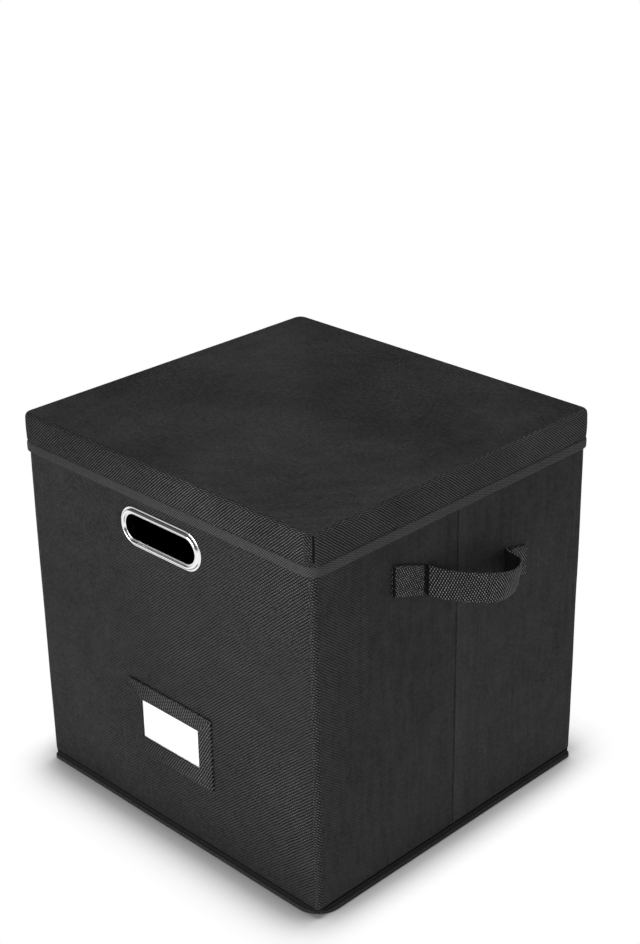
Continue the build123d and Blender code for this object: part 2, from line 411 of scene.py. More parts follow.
def floor_finish(name):
    """White floor: near the object its colour is darkened by ambient occlusion, a painted contact
    shadow over the lamps' shadow; seen by the camera it fades to plain white further off.
    """
    s = Shading(name)
    place = s.object_place()
    speckle = s.noise(place, 4, 2)
    # Painted contact shadow: ambient occlusion darkens the floor's colour next to the object.
    contact = s.add("ShaderNodeAmbientOcclusion", {"Distance": 0.045}, samples=24)
    painted_contact_shadow = s.scaled(contact.outputs["AO"], 0.44, 1, 0.5, 1)
    floor_tone_with_painted_shadow = s.math("MULTIPLY", painted_contact_shadow, s.scaled(speckle, 0.93, 0.94))
    shader = s.surface(s.blend(floor_tone_with_painted_shadow, grey(0), (1, 1, 1, 1)),
                       s.scaled(speckle, 0.9, 0.95), specular=0)
    place_x, place_y = s.first_two(place)

    def beyond(value, edge):
        """How far a place lies outside the object along one axis."""
        outside = s.math("SUBTRACT", s.math("ABSOLUTE", value), edge)
        return s.math("MAXIMUM", outside, 0)

    out_x = s.math("MULTIPLY", beyond(place_x, 0.167), 1.5)
    out_y = beyond(place_y, 0.158)
    squares = s.math("ADD", s.math("POWER", out_x, 2), s.math("POWER", out_y, 2))
    distance = s.math("SQRT", squares)
    # Painted light: beside the side walls the floor turns to plain white sooner, lightening the
    # shadow there.
    beside = s.scaled(s.math("ABSOLUTE", place_x), 0, 0.13, 0.165, 0.173)
    faded = s.math("ADD", s.scaled(distance, 0, 1, 0.015, 0.065), beside)
    far = s.math("MINIMUM", faded, 1)
    path = s.add("ShaderNodeLightPath")
    seen = s.chain("MAXIMUM", path.outputs["Is Camera Ray"], path.outputs["Is Glossy Ray"],
                   path.outputs["Is Transmission Ray"])
    s.mixed(s.math("MULTIPLY", far, seen), shader, s.add("ShaderNodeEmission", {"Strength": 1.0}))
    return s.material


# Painted light and shade on the end walls: lean makes the cloth darker and its ribs fainter
# towards the left, foot makes it darker and plainer towards the floor.
twill = woven(
    "outer_twill", 0.003, 0.125, rib=2.12, bead=2.6, slant=40.5, depth=0.3, contrast=(0.45, 1.15),
    mean=0.168, fleck=0.6, lean=((-160, 0, 0.79), (150, 0.87, 1.14)), foot=(38, 0.1, 0.70))
# Corner copy of the cloth, lighter and plainer: a painted highlight along the rounded corners.
painted_highlight_corner_cloth = woven(
    "corner_twill_painted_highlight", 0.003, 0.125, rib=2.1, bead=2.6, slant=40.5, depth=0.3, contrast=(0.5, 1.05),
    mean=0.235, fleck=0.7, bead_floor=0.1)
# The side walls' copy of the cloth, with its own tone and contrast for how the sides are lit: lean
# paints the light across each half, foot paints lighter cloth towards the floor from the floor's
# bounce, and crease paints shade and light at the fold.
side_twill = woven(
    "side_twill", 0.003, 0.110, rib=2, bead=2.5, slant=38.5, depth=0.25, contrast=(0.4, 1),
    mean=0.205, bead_floor=0.4, lean=((-110, 0.06, 1), (0, 0.62, 1.08)), foot=(220, 0.35, 1.07),
    streak=0.045, crease=(-157, 0.12, 0.085, 18))
# The lid cloth in three painted tones: lid_twill for the front and back, with painted shade
# darkening its left end; lid_top_twill darker, painted shade on the top; lid_side_twill lighter,
# painted light on the ends.
lid_twill = woven(
    "lid_twill", 0.003, 0.165, rib=1.92, bead=2.4, slant=42, depth=0.35, contrast=(0.8, 1.3),
    mean=0.04, bead_floor=0.45, lean=((20, 0.6, 0.62), (300, 1, 1)))
lid_top_twill = woven(
    "lid_top_twill", 0.003, 0.165, rib=1.92, bead=2.4, slant=42, depth=0.35,
    contrast=(0.4, 0.7), mean=0.075, bead_floor=0.45)
lid_side_twill = woven(
    "lid_side_twill", 0.003, 0.125, rib=1.85, bead=2.4, slant=39, depth=0.3,
    contrast=(0.6, 0.9), mean=0.165, bead_floor=0.45)
welt_cloth = woven(
    "base_twill", 0.004, 0.100, rib=2.1, bead=2.6, slant=40, depth=0.2, contrast=(0.15, 0.5),
    mean=0.255)
# Painted shade: lean darkens the binding towards its left end.
tape = woven(
    "binding_weave", 0.012, 0.125, rib=1.5, bead=1.5, slant=45, depth=0.18, contrast=(0.7, 1.2),
    mean=0.275, lean=((20, 0.9, 0.55), (300, 1.1, 1)))
webbing = woven(
    "strap_weave", 0.003, 0.285, rib=2.15, bead=2.2, slant=-50, depth=0.5, contrast=(0.8, 1.3),
    mean=0.165, fleck=0.6, wander=0.0002, bead_floor=0)
patch_webbing = woven(
    "strap_patch_weave", 0.003, 0.320, rib=2.1, bead=2.2, slant=-50, depth=0.5,
    contrast=(0.9, 1.6), mean=0.085, fleck=0.8, bead_floor=0)
pocket_twill = woven(
    "pocket_twill", 0.003, 0.125, rib=2.2, bead=4, slant=55, depth=0.4, contrast=(0.75, 1.35),
    mean=0.15, bead_floor=0.6, lean=((-45, 0.15, 0.9), (35, 1, 1)))
lining_felt = felt("lining_felt", 0.022)
lining_cloth = felt("lining_sheet", 0.022, on_cloth=True)
chrome = metal("eyelet_chrome")
board = pressed("wall_board", (500, 6, 0.7), (0.35, 0.65), (0.24, 0.22, 0.19, 1),
                (0.38, 0.35, 0.31, 1), (0.8, 0.95), 0.2)
card = pressed("card_paper", (900, 4, 0.6), (0.3, 0.7), (0.93, 0.93, 0.93, 1),
               (0.97, 0.97, 0.97, 1), (0.6, 0.8), 0.05)
film = clear_film("window_film")
thread = thread_finish("dark_thread", 0.035)
# Dark seam thread: the lid's corner seams, and also painted shade at the strap's bar tack and the
# patches' ends.
thread_and_painted_shade = thread_finish("seam_thread_and_painted_shade", 0.004, 0.08)
# Painted shade: darker felt in the groove under the walls, the side walls' copy lighter.
shaded_cloth = felt("base_groove_painted_shade", 0.0125, on_cloth=True)
shaded_side_cloth = felt("base_side_groove_painted_shade", 0.022, on_cloth=True)
# Painted shade: dark felt for the inner face of the webbing's loop.
strap_inner_painted_shade = felt("strap_underside_painted_shade", 0.010, on_cloth=True)

# ---- finishes of the CAD nodes that stay in view ----
for node_name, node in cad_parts.items():
    if node_name.endswith("board"):
        finish = board
    elif "eyelet" in node_name:
        finish = chrome
    elif node_name == "label_card":
        finish = card
    elif node_name == "pocket_window":
        finish = film
    else:
        finish = lining_felt
    for slot_index in range(len(node.data.materials)):
        node.data.materials[slot_index] = finish

# ---- walls ----
loose_from, loose_to = 12, 304  # heights between which the cloth isn't drawn tight
front_seam = wall_x - wall_corner + 0.8  # the end walls' cloth is drawn in here
seam_width = 0.7
hole_cut = 14.2  # radius of the hole's ends in the cloth, under the eyelet


def slack(point, p, q):
    """Small waves of the cloth over the board, none at the foot or where the lid covers it."""
    if p < -0.05 or q > loose_to or q < loose_from:
        return 0.0
    fade = min(1.0, (q - loose_from) / 30, (loose_to - q) / 12)
    broad = noise.noise(Vector((point.x * 0.011, point.y * 0.011, point.z * 0.011)))
    fine = noise.noise(Vector((point.x * 0.035, point.y * 0.035 + 9, point.z * 0.028)))
    return fade * max(-0.1, 0.16 + 0.35 * broad + 0.12 * fine)


def wall_profile(foot):
    """Outer face from the foot, over the rim and down the hem inside."""
    up = [(-2.4, foot), (-1.1, foot + 0.4), (-0.35, foot + 1.2), (0.0, foot + 2.5)]
    for low, high, step in ((foot + 6, 256, 6.0), (260, 302, 3.0), (307, 331, 5.0)):
        up += [(0.0, z) for z in spread(low, high, step)]
    over = [(0.0, rim - 2.6), (-0.25, rim - 1.3), (-0.9, rim - 0.4), (-2.0, rim),
            (-3.1, rim - 0.4), (-3.75, rim - 1.3), (-wall, rim - 2.6)]
    hem = rim - hem_height
    return up + over + [(-wall, hem + 1.2), (-wall + 0.1, hem), (-wall + 0.7, hem - 0.2)]


def open_hand_hole(obj, face_y):
    """Cuts the oval for the eyelet out of a wall's cloth and brings the cut edge to the oval."""
    reach = (hole_length - hole_height) / 2
    mesh = bmesh.new()
    mesh.from_mesh(obj.data)

    def oval_place(vertex):
        x, z = vertex.co.x / MM, vertex.co.z / MM - hole_z
        nearest = max(-reach, min(reach, x))
        return nearest, Vector((x - nearest, z))

    def on_face(vertex):
        return abs(vertex.co.y / MM - face_y) < 1.0

    def inside(vertex):
        return on_face(vertex) and oval_place(vertex)[1].length < hole_cut

    gone = [f for f in mesh.faces if sum(inside(v) for v in f.verts) >= 3]
    bmesh.ops.delete(mesh, geom=gone, context="FACES")
    for vertex in mesh.verts:
        if vertex.is_boundary and on_face(vertex):
            nearest, away = oval_place(vertex)
            above = abs(vertex.co.z / MM - hole_z)
            if away.length < hole_cut + 4 and above < hole_cut + 5:
                away = away.normalized() * hole_cut
                vertex.co.x = (nearest + away.x) * MM
                vertex.co.z = (hole_z + away.y) * MM
    mesh.to_mesh(obj.data)
    mesh.free()


def end_wall_cloth(name, side, foot):
    """Cloth of the front (side -1) or back (side 1) wall, with its corners and turned-in rim."""
    corner_x, corner_y = wall_x - wall_corner, -(wall_y - wall_corner)
    hole_side = 49  # the columns are finer within this, across the hand hole
    places = sorted(set(spread(-corner_x, -hole_side, 6.0) + spread(-hole_side, hole_side, 3.5)
                        + spread(hole_side, corner_x, 6.0) + [1.2 - corner_x, corner_x - 1.2]))
    line = corner_line(-corner_x, corner_y, wall_corner, 180, 270, 10)
    line += [(Vector((x, -wall_y, 0)), -Y, Z) for x in places[1:]]
    line += corner_line(corner_x, corner_y, wall_corner, 270, 360, 10)[1:]
    if side > 0:
        turned = Matrix.Rotation(math.pi, 3, "Z")
        line = [(turned @ origin, turned @ out, up) for origin, out, up in line]
    along = running_length([s[0] for s in line])
    middle = along[-1] / 2
    spans = []
    for start, end in zip(along, along[1:]):
        a, b = start - middle, end - middle
        in_corner = abs((a + b) / 2) > front_seam
        edge = math.copysign(middle, a)
        spans.append((edge - a, edge - b) if in_corner else (a, b))

    def shaped(point, p, q):
        dip = 0.0
        if p > -0.05 and loose_from < q < rim - 3:
            dip = 0.4 * math.exp(-((abs(point.x) - front_seam) / seam_width) ** 2)
        return slack(point, p, q) - dip

    cloth = sweep(name, line, wall_profile(foot), twill, spans=spans, puff=shaped)
    # The corner columns take the lighter copy, the painted highlight.
    add_finishes(cloth, painted_highlight_corner_cloth)
    for polygon in cloth.data.polygons:
        if abs(polygon.center.x) > front_seam * MM:
            polygon.material_index = 1
    open_hand_hole(cloth, side * wall_y)
    return thickened(cloth)


def crease_shape(near):
    """How far the cloth stands out, near millimetres from the crease, where it is drawn in."""
    return 0.85 * math.exp(-((near - 22) / 11) ** 2) - 0.65 * math.exp(-(near / 3.5) ** 2)


def side_wall_cloth(name, side, half):
    """Cloth of one half of a side wall, from the corner to the crease."""
    far = wall_y - wall_corner
    places = sorted(set(spread(0.0, 3.0, 0.75) + spread(3.0, 36, 3.0) + spread(36, far - 12, 6.0)
                        + spread(far - 12, far, 1.5)))
    ordered = sorted((y * half for y in places), reverse=side < 0)
    line = [(Vector((side * wall_x, y, 0)), X * side, Z) for y in ordered]
    spans = [(-far - a, -far - b) for a, b in zip(ordered, ordered[1:])]

    def shaped(point, p, q):
        near = abs(point.y)
        shape = crease_shape(near) if p > -0.5 and q < rim - 0.9 else 0.0
        if shape > 0:
            shape *= max(0.0, min(1.0, (q - 8) / 20, (loose_to - q) / 15))
        return slack(point, p, q) * min(1.0, near / 12) + shape

    cloth = sweep(name, line, wall_profile(hinged_foot), side_twill, spans=spans, puff=shaped)
    return thickened(cloth)


def crease_strip(name, side, profile, material):
    """Cloth that crosses a side wall's crease on its inner face."""
    places = spread(-7.0, 7.0, 0.7)
    if side < 0:
        places.reverse()
    line = [(Vector((side * wall_x, y, 0)), X * side, Z) for y in places]
    return sweep(name, line, profile, material, turned=True)


front_cloth = end_wall_cloth("front_outer_cloth", -1, front_foot)
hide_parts("front_cover")
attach(front_cloth, "base_and_front")
back_cloth = end_wall_cloth("back_outer_cloth", 1, hinged_foot)
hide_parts("back_cover")
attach(back_cloth, "back_wall")

inner = -wall - 0.05  # just inside the wall's lining
lining_profile = [(inner, z) for z in spread(hinged_foot + 0.8, rim - hem_height, 12.0)]
hem_profile = [(inner, rim - hem_height), (inner, rim - 2.6), (-3.8, rim - 1.25),
               (-3.1, rim - 0.35), (-2.0, rim + 0.05), (-1.2, rim - 0.15)]
for side, label in ((-1, "left"), (1, "right")):
    near = side_wall_cloth(f"{label}_front_outer_cloth", side, -1)
    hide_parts(f"{label}_front_cover")
    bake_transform(near)
    far = side_wall_cloth(f"{label}_back_outer_cloth", side, 1)
    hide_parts(f"{label}_back_cover")
    if side < 0:
        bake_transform(far)
    else:
        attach(far, "right_back_panel")

    lining_strip = crease_strip(f"{label}_crease_lining", side, lining_profile, lining_cloth)
    hem_strip = crease_strip(f"{label}_crease_hem", side, hem_profile, twill)
    for strip, finish_slot in ((lining_strip, "non_woven_lining"), (hem_strip, "outer_cloth")):
        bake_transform(strip)

# The right back corner has no joint of its own: its cloth is a rolled gusset on the back wall.
gusset = sweep("right_back_corner_gusset", corner_line(hinge_x, hinge_y, 4.3, -86, 0, 14),
               [(0.0, z) for z in spread(hinged_foot + 1, rim - 1, 12.0)], twill)
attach(gusset, "back_wall")

# ---- base ----
welt_profile = [(-7, 0), (-0.6, 0), (0.6, 0.1), (1, 0.5), (1.1, 1.6), (1, 2.9),
                (0.5, 3.6), (-0.5, 4), (-1.1, 4.5), (-1.2, 5.4), (-1, 6.4), (-0.4, 7.1),
                (-0.2, 7.5), (-0.6, 7.72), (-4.2, 7.7)]
groove_row = 6  # from this row on, the profile is the shaded groove under the wall
welt_stand = 1  # how far the welt stands out from the wall
loose_corner = 23.0  # the base is drawn in round the corner nearest the camera


def welt_slack(point, p, q):
    return 0.12 * ripple(point, 0.03, 2.0) if 0.3 < q < 7.5 else 0.0


def draw_in(obj, radius, reach):
    """Rounds the base's front right corner in plan, fully at the floor and not at height reach."""
    edge_x, edge_y = wall_x + welt_stand, wall_y + welt_stand
    centre = Vector((edge_x - radius, -(edge_y - radius)))
    for vertex in obj.data.vertices:
        away = Vector((vertex.co.x / MM, vertex.co.y / MM)) - centre
        if away.x > 0 and away.y < 0:
            share = max(0.0, 1.0 - vertex.co.z / MM / reach) ** 0.7
            inset = min(edge_x - vertex.co.x / MM, edge_y + vertex.co.y / MM)
            wanted = radius - inset
            if away.length > wanted:
                target = centre + away.normalized() * wanted
                vertex.co.x += (target.x * MM - vertex.co.x) * share
                vertex.co.y += (target.y * MM - vertex.co.y) * share


def close_bottom(obj):
    """One face across the opening in the floor plane."""
    mesh = bmesh.new()
    mesh.from_mesh(obj.data)
    edge = [v for v in mesh.verts if v.is_boundary and v.co.z < 0.001]
    edge.sort(key=lambda v: math.atan2(v.co.y, v.co.x), reverse=True)
    mesh.faces.new(edge)
    mesh.to_mesh(obj.data)
    mesh.free()


welt = sweep("base_welt_and_bottom", ring_line(wall_x, wall_y, 5.5, 4.0, 8), welt_profile,
             welt_cloth, closed=True, puff=welt_slack)
draw_in(welt, loose_corner, 8.0)
add_finishes(welt, shaded_cloth, shaded_side_cloth)
# The groove rows take the painted shade, the side walls' lighter copy and the rest the darker one.
for polygon in welt.data.polygons:
    if polygon.index % (len(welt_profile) - 1) >= groove_row:
        on_side = abs(polygon.center.y) < (wall_y - wall_corner) * MM
        polygon.material_index = 2 if on_side else 1
close_bottom(welt)
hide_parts("base_cloth", "base_welt")
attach(welt, "base_and_front")

# ---- eyelets ----
eyelet_profile = [
    (2.6, -5.05), (2.9, -5.3), (2.6, -5.6), (1.6, -5.75), (0.6, -5.6), (0.1, -5.1), (0, -4.2),
    (0, -2), (0, 0.2), (0, 1), (0.12, 1.5), (0.4, 1.75), (0.75, 1.65), (1, 1.3),
    (1.2, 1.3), (1.4, 1.9), (1.6, 2.5), (1.9, 3), (2.3, 3.25), (2.8, 3.3), (3.3, 3.15),
    (3.8, 2.8), (4.25, 2.3), (4.6, 1.7), (4.85, 1.1), (5.05, 0.85), (5.3, 0.95), (5.6, 1.15),
    (5.95, 1.15), (6.25, 0.95), (6.45, 0.6), (6.5, 0.25), (6.4, 0.05), (4, 0), (1.2, 0),
    (1, -1), (1, -4.6), (1.3, -5)]
for sign, label, body in ((-1, "front", "base_and_front"), (1, "back", "back_wall")):
    centre = Vector((0, sign * wall_y, hole_z))
    opening = stadium_line(hole_length, hole_height, centre, Y * sign)
    ring = sweep(f"{label}_hand_hole_eyelet", opening, eyelet_profile, chrome, closed=True,
                 loop=True)
    applied(ring, "SUBSURF", levels=1, render_levels=1)
    ring.data.shade_smooth()
    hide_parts(f"{label}_eyelet_ring")
    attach(ring, body)

# ---- card pocket ----
pocket_profile = [(0.2, 0), (0.25, 1.2), (0, 2), (-0.6, 2.35), (-1.6, 2.42), (-3, 2.3),
                  (-4.6, 2.42), (-8, 2.5), (-12, 2.5), (-14.4, 2.42), (-15.4, 2.25),
                  (-15.95, 1.9), (-16, 1.45)]


def pocket_outline():
    """Places round the pocket, as shares of its half width and half height."""
    outline = []
    corners = [(-1, -1), (1, -1), (1, 1), (-1, 1)]
    for (ax, az), (bx, bz) in zip(corners, corners[1:] + corners[:1]):
        outline += [(ax + (bx - ax) * t, az + (bz - az) * t) for t in spread(0.0, 1.0, 0.05)[:-1]]
    return outline


def pocket_mesh():
    """Sewn frame round the window; its top edge stays off the wall so the card can slide."""
    outline = pocket_outline()
    points, faces, uvs = [], [], []
    for sx, sz in outline:
        for inset, height in pocket_profile:
            x = sx * (pocket_half_width + inset)
            z = pocket_z + sz * (pocket_half_height + inset)
            if sz > 0.999:
                height = max(height, 1.5)
            soft = 0.12 * noise.noise(Vector((x * 0.08, z * 0.08, 5)))
            points.append((x, -wall_y - height - (soft if 1.6 < height else 0.0), z))
    rows = len(pocket_profile)
    count = len(outline)
    for c in range(count):
        d = (c + 1) % count
        middle_z = (outline[c][1] + outline[d][1]) / 2
        tilt = 0 if middle_z < -0.99 else 16 if middle_z > 0.99 else 3
        cos, sin = math.cos(math.radians(tilt)), math.sin(math.radians(tilt))
        for r in range(rows - 1):
            face = [c * rows + r, d * rows + r, d * rows + r + 1, c * rows + r + 1]
            faces.append(face)
            uvs.append([(points[k][0] * cos + points[k][2] * sin,
                         points[k][2] * cos - points[k][0] * sin) for k in face])
    return mesh_object("card_pocket_cloth", points, faces, uvs, pocket_twill)


pocket = pocket_mesh()
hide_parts("pocket_frame")
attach(pocket, "base_and_front")

# ---- webbing handles ----
# Places along the wall with the webbing's distance from it, its extra height and its lean.
strap_knots = [
    (-78, 1), (-60, 1), (-44, 1), (-41, 0.9), (-39.3, 1.3), (-37.9, 3),
    (-35.6, 6), (-30.5, 10.8), (-17.5, 20), (0, 30.1), (11, 34.2), (22, 35),
    (33, 33.2), (43.5, 28.8), (51.5, 22.8), (55.6, 16), (56.6, 9.5), (57.3, 4.4),
    (59.3, 1.4), (62, 1), (74, 1), (83, 1)]
strap_lift = [(-78, 1.5), (-60, 0.3), (-43, -1.7), (-30, -2.3), (-17, -2), (0, 0),
              (11, 1.1), (22, 1.7), (43, 2.6), (52, 3.2), (57, 0.8), (62, -0.6),
              (83, 0.6)]
strap_tuck = [(-78, 0), (0, 0), (11, 1), (22, 4), (33, 5.5), (45, 5),
              (52, 3), (57, 0), (83, 0)]
strap_z, strap_slope, strap_droop = 251.0, 0.25, 0.15
strap_half_width, strap_half_thick = 13.0, 1.0
patch_foot = 1.9  # the patches start on the strap's outer face
strap_seam = -42.8, -38.6  # dark thread beside the front patch: a bar tack that also paints the shade of the gap there


def looked_up(table, place):
    """The value at a place in a table of (place, value) pairs."""
    for (a, value_a), (b, value_b) in zip(table, table[1:]):
        if place <= b:
            return value_a + (value_b - value_a) * (place - a) / (b - a)
    return table[-1][1]


def strap_height(along, standoff):
    """Height of the webbing's middle line: it falls to the back and sags where it stands off."""
    falling = strap_z - strap_slope * along - strap_droop * (standoff - 1.0)
    return falling + looked_up(strap_lift, along)


def smooth_line(knots, steps=6):
    """Catmull-Rom line through the knots, never inside the wall."""
    out = []
    padded_knots = [knots[0]] + knots + [knots[-1]]
    for i in range(1, len(padded_knots) - 2):
        p0, p1, p2, p3 = (Vector(k) for k in padded_knots[i - 1:i + 3])
        for s in range(steps):
            t = s / steps
            out.append(0.5 * ((2 * p1) + (p2 - p0) * t + (2 * p0 - 5 * p1 + 4 * p2 - p3) * t ** 2
                              + (3 * p1 - p0 - 3 * p2 + p3) * t ** 3))
    out.append(Vector(knots[-1]))
    return [Vector((p.x, max(p.y, 1.0))) for p in out]


strap_profile = [(strap_half_thick, q * (strap_half_width - 0.5)) for q in spread(-1.0, 1.0, 0.2)]
strap_profile += [(0.5, strap_half_width - 0.1), (0.0, strap_half_width),
                  (-0.5, strap_half_width - 0.1)]
strap_profile += [(-p, -q) for p, q in strap_profile]


def strap_piece(name, side, keep):
    """The part of one handle whose places along the wall pass keep()."""
    line = smooth_line(strap_knots)
    stations = []
    lengths = running_length([(p.x, p.y, 0) for p in line])
    kept = [i for i, p in enumerate(line) if keep(p.x)]
    for i in kept:
        before, here, after = line[max(i - 1, 0)], line[i], line[min(i + 1, len(line) - 1)]
        run = Vector((side * (after.y - before.y), after.x - before.x, 0)).normalized()
        height = strap_height(here.x, here.y)
        out = Vector((run.y, -run.x, 0)) * side
        tuck = looked_up(strap_tuck, here.x) / (2 * strap_half_width)
        middle = Vector((side * (wall_x + here.y), here.x, height))
        stations.append((middle - out * tuck * strap_half_width, out, Z + out * tuck))
    spans = [(lengths[a], lengths[b]) for a, b in zip(kept, kept[1:])]
    strap = sweep(name, stations, strap_profile, webbing, loop=True, caps=True, spans=spans)
    add_finishes(strap, strap_inner_painted_shade, thread_and_painted_shade)
    rows = len(strap_profile)
    # The inner half of the profile takes the painted shade of the loop's inner face.
    for polygon in strap.data.polygons:
        if rows / 2 <= polygon.index % rows < rows - 4:
            polygon.material_index = 1
        # Faces beside the front patch take the dark thread: a bar tack, and painted shade of the
        # gap.
        elif strap_seam[0] < polygon.center.y / MM < strap_seam[1]:
            polygon.material_index = 2
    return strap


def strap_patch(name, side, start, end):
    """Folded end of the webbing, sewn flat on top of the strap."""
    stations = []
    for t in [0.0, 0.012, 0.04] + spread(0.1, 0.9, 0.1) + [0.96, 0.988, 1.0]:
        y = start + (end - start) * t
        edge = min(1.0, 0.2 + 0.8 * min(t, 1 - t) / 0.035)
        origin = Vector((side * (wall_x + patch_foot), y, strap_height(y, 1.0)))
        stations.append((origin, X * side * edge, Z))
    if side < 0:
        stations.reverse()
    reach = strap_half_width + 0.2
    rise = [(0.0, -reach), (1.1, -reach), (1.65, -reach + 0.5), (1.8, -reach + 2.2)]
    flat = [(1.6, q) for q in spread(-reach + 4.5, reach - 4.5, 2.2)]
    profile = rise + flat + [(p, -q) for p, q in reversed(rise)]
    patch = sweep(name, stations, profile, patch_webbing, loop=True, caps=True)
    add_finishes(patch, thread_and_painted_shade)
    # The patch's end faces take the dark thread: their stitching, and painted shade on the ends.
    for polygon in patch.data.polygons:
        if abs(polygon.normal.y) > 0.6:
            polygon.material_index = 1
    return patch


for side, label in ((-1, "left"), (1, "right")):
    for where, start, end, body in (("front", -78.6, -42.9, "front_panel"),
                                    ("rear", 61.5, 83.3, "back_panel")):
        patch = strap_patch(f"{label}_handle_{where}_patch", side, start, end)
        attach(patch, f"{label}_{body}")
    near = strap_piece(f"{label}_handle_front", side, lambda y: y <= 0.001)
    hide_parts(f"{label}_strap_front_half")
    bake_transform(near)
    far = strap_piece(f"{label}_handle_rear", side, lambda y: y >= -0.001)
    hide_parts(f"{label}_strap_rear_half")
    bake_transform(far)

# ---- lid ----
lid_seam = 50.0  # degrees round each corner from the lid's front or back
lid_seam_dark = 0.95  # faces whose middle is nearer to a seam than this are dark
lid_groove_z = 316.3  # the row of stitches above the binding
skirt_from, skirt_to = 317.5, 340  # the part of the skirt that has the corner seams
top_wave_from = 4  # inset at which the rounded edge ends and the flat top begins
arc_inset = lid_corner - 1.5  # up to here the rows follow the rounded corners
lid_line = ring_line(lid_x, lid_y, lid_corner, 7.0, 30)
lid_profile = [(-0.7, lid_foot + 0.9), (0.0, lid_foot + 0.9), (0.0, 313.5), (-0.1, 315.4),
               (-0.6, lid_groove_z), (-0.15, 317.1), (0.05, 318.4)]
lid_profile += [(0.0, z) for z in spread(321, 334, 3.25)]
lid_profile += [(0.0, 336.4), (-0.15, 338.1), (-0.7, 339.4), (-1.7, 340.35), (-3.0, 340.9),
                (-4.4, 341.05)]
lid_top_start = len(lid_profile) - 1
lid_profile += [(-inset, lid_top) for inset in (7, 11, 17, 25, 34, 44, 55, 67, 80, 94, 108, 122,
                                                136, 150, 158)]


def seam_gap(out):
    """Distance along the corner, in millimetres, from the corner seam."""
    turned = math.degrees(math.atan2(abs(out.x), abs(out.y)))
    return abs(math.radians(turned - lid_seam)) * lid_corner


def lid_point(origin, out, p, q):
    """One point of the lid: bulging skirt with corner seams, or flat top with soft waves."""
    if p > -top_wave_from:
        point = origin + out * p
        bulge = 0.25 * math.sin(math.pi * max(0.0, min(1.0, (q - 318) / 20)))
        bulge += 0.15 * ripple(origin, 0.02, q * 0.05)
        if skirt_from < q < skirt_to:
            bulge -= (0.55 * math.exp(-(seam_gap(out) / seam_width) ** 2)
                      * min(1.0, (skirt_to - q) / 6))
        point = point + out * (bulge if q > 317 else 0.0)
        return Vector((point.x, point.y, q))
    if -p <= arc_inset:
        inner = origin + out * p
    else:
        near_edge = origin + out * -arc_inset
        inner = Vector((near_edge.x * (lid_x + p) / (lid_x - lid_corner + 1.5),
                        near_edge.y * (lid_y + p) / (lid_y - lid_corner + 1.5), 0))
    wave = 0.18 * ripple(inner, 0.012, 7)
    return Vector((inner.x, inner.y, q - 0.05 + wave * min(1.0, (-p - top_wave_from) / 25)))


def lid_mesh():
    """Lid cover: skirt with a stitched groove, soft crown and top."""
    points = [lid_point(origin, out, p, q) for origin, out, up in lid_line for p, q in lid_profile]
    rows = len(lid_profile)
    count = len(lid_line)
    along = running_length([s[0] for s in lid_line], True)
    across = running_length([(p, q, 0) for p, q in lid_profile])
    faces, uvs = [], []
    for c in range(count):
        d = (c + 1) % count
        middle = (lid_line[c][0] + lid_line[d][0]) / 2
        on_end = abs(middle.x) < lid_x - lid_corner and abs(middle.y) > lid_y - 1
        sign = 1 if on_end else -1
        for r in range(rows - 1):
            face = [c * rows + r, d * rows + r, d * rows + r + 1, c * rows + r + 1]
            faces.append(face)
            if r >= lid_top_start:
                uvs.append([(points[k].x, points[k].y) for k in face])
            else:
                u0, u1 = sign * along[c], sign * along[c + 1]
                v0, v1 = across[r], across[r + 1]
                uvs.append([(u0, v0), (u1, v0), (u1, v1), (u0, v1)])
    last = [c * rows + rows - 1 for c in range(count)]
    faces.append(last)
    uvs.append([(points[k].x, points[k].y) for k in last])
    cloth = mesh_object("lid_outer_cloth", points, faces, uvs, lid_twill)
    add_finishes(cloth, thread_and_painted_shade, lid_side_twill, lid_top_twill)
    seam_index, side_index, top_index = 1, 2, 3
    # side_index faces take the lighter copy, painted light on the lid's ends; top_index faces take
    # the darker copy, painted shade on the top.
    for polygon in cloth.data.polygons:
        c, r = divmod(polygon.index, rows - 1)
        if r >= lid_top_start - 1 or c == count:
            polygon.material_index = top_index
        if c == count:
            continue
        here, after = lid_line[c], lid_line[(c + 1) % count]
        height = lid_profile[r][1]
        if abs((here[0] + after[0]).x) > 2 * lid_x - 6 and height < 340.5:
            polygon.material_index = side_index
        if skirt_from < height < 339.5 and seam_gap(here[1] + after[1]) < lid_seam_dark:
            polygon.material_index = seam_index
    return cloth


lid_cloth = lid_mesh()
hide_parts("lid_cover")
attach(lid_cloth, "lid")

tape_profile = [(-2, 311), (-2.1, 308.2), (-1.7, 307.2), (-0.9, 306.95), (0, 307.05),
                (0.45, 307.7), (0.55, 309.2), (0.6, 311.4), (0.55, 313.4), (0.4, 314.8),
                (0.1, 315.5), (-0.3, 315.6)]


def tape_slack(point, p, q):
    return 0.1 * ripple(point, 0.05, 3) if p > -0.2 else 0.0


lid_tape = sweep("lid_binding_tape", ring_line(lid_x, lid_y, lid_corner + 0.5, 6.0, 10),
                 tape_profile, tape, closed=True, puff=tape_slack)
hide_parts("lid_binding")
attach(lid_tape, "lid")


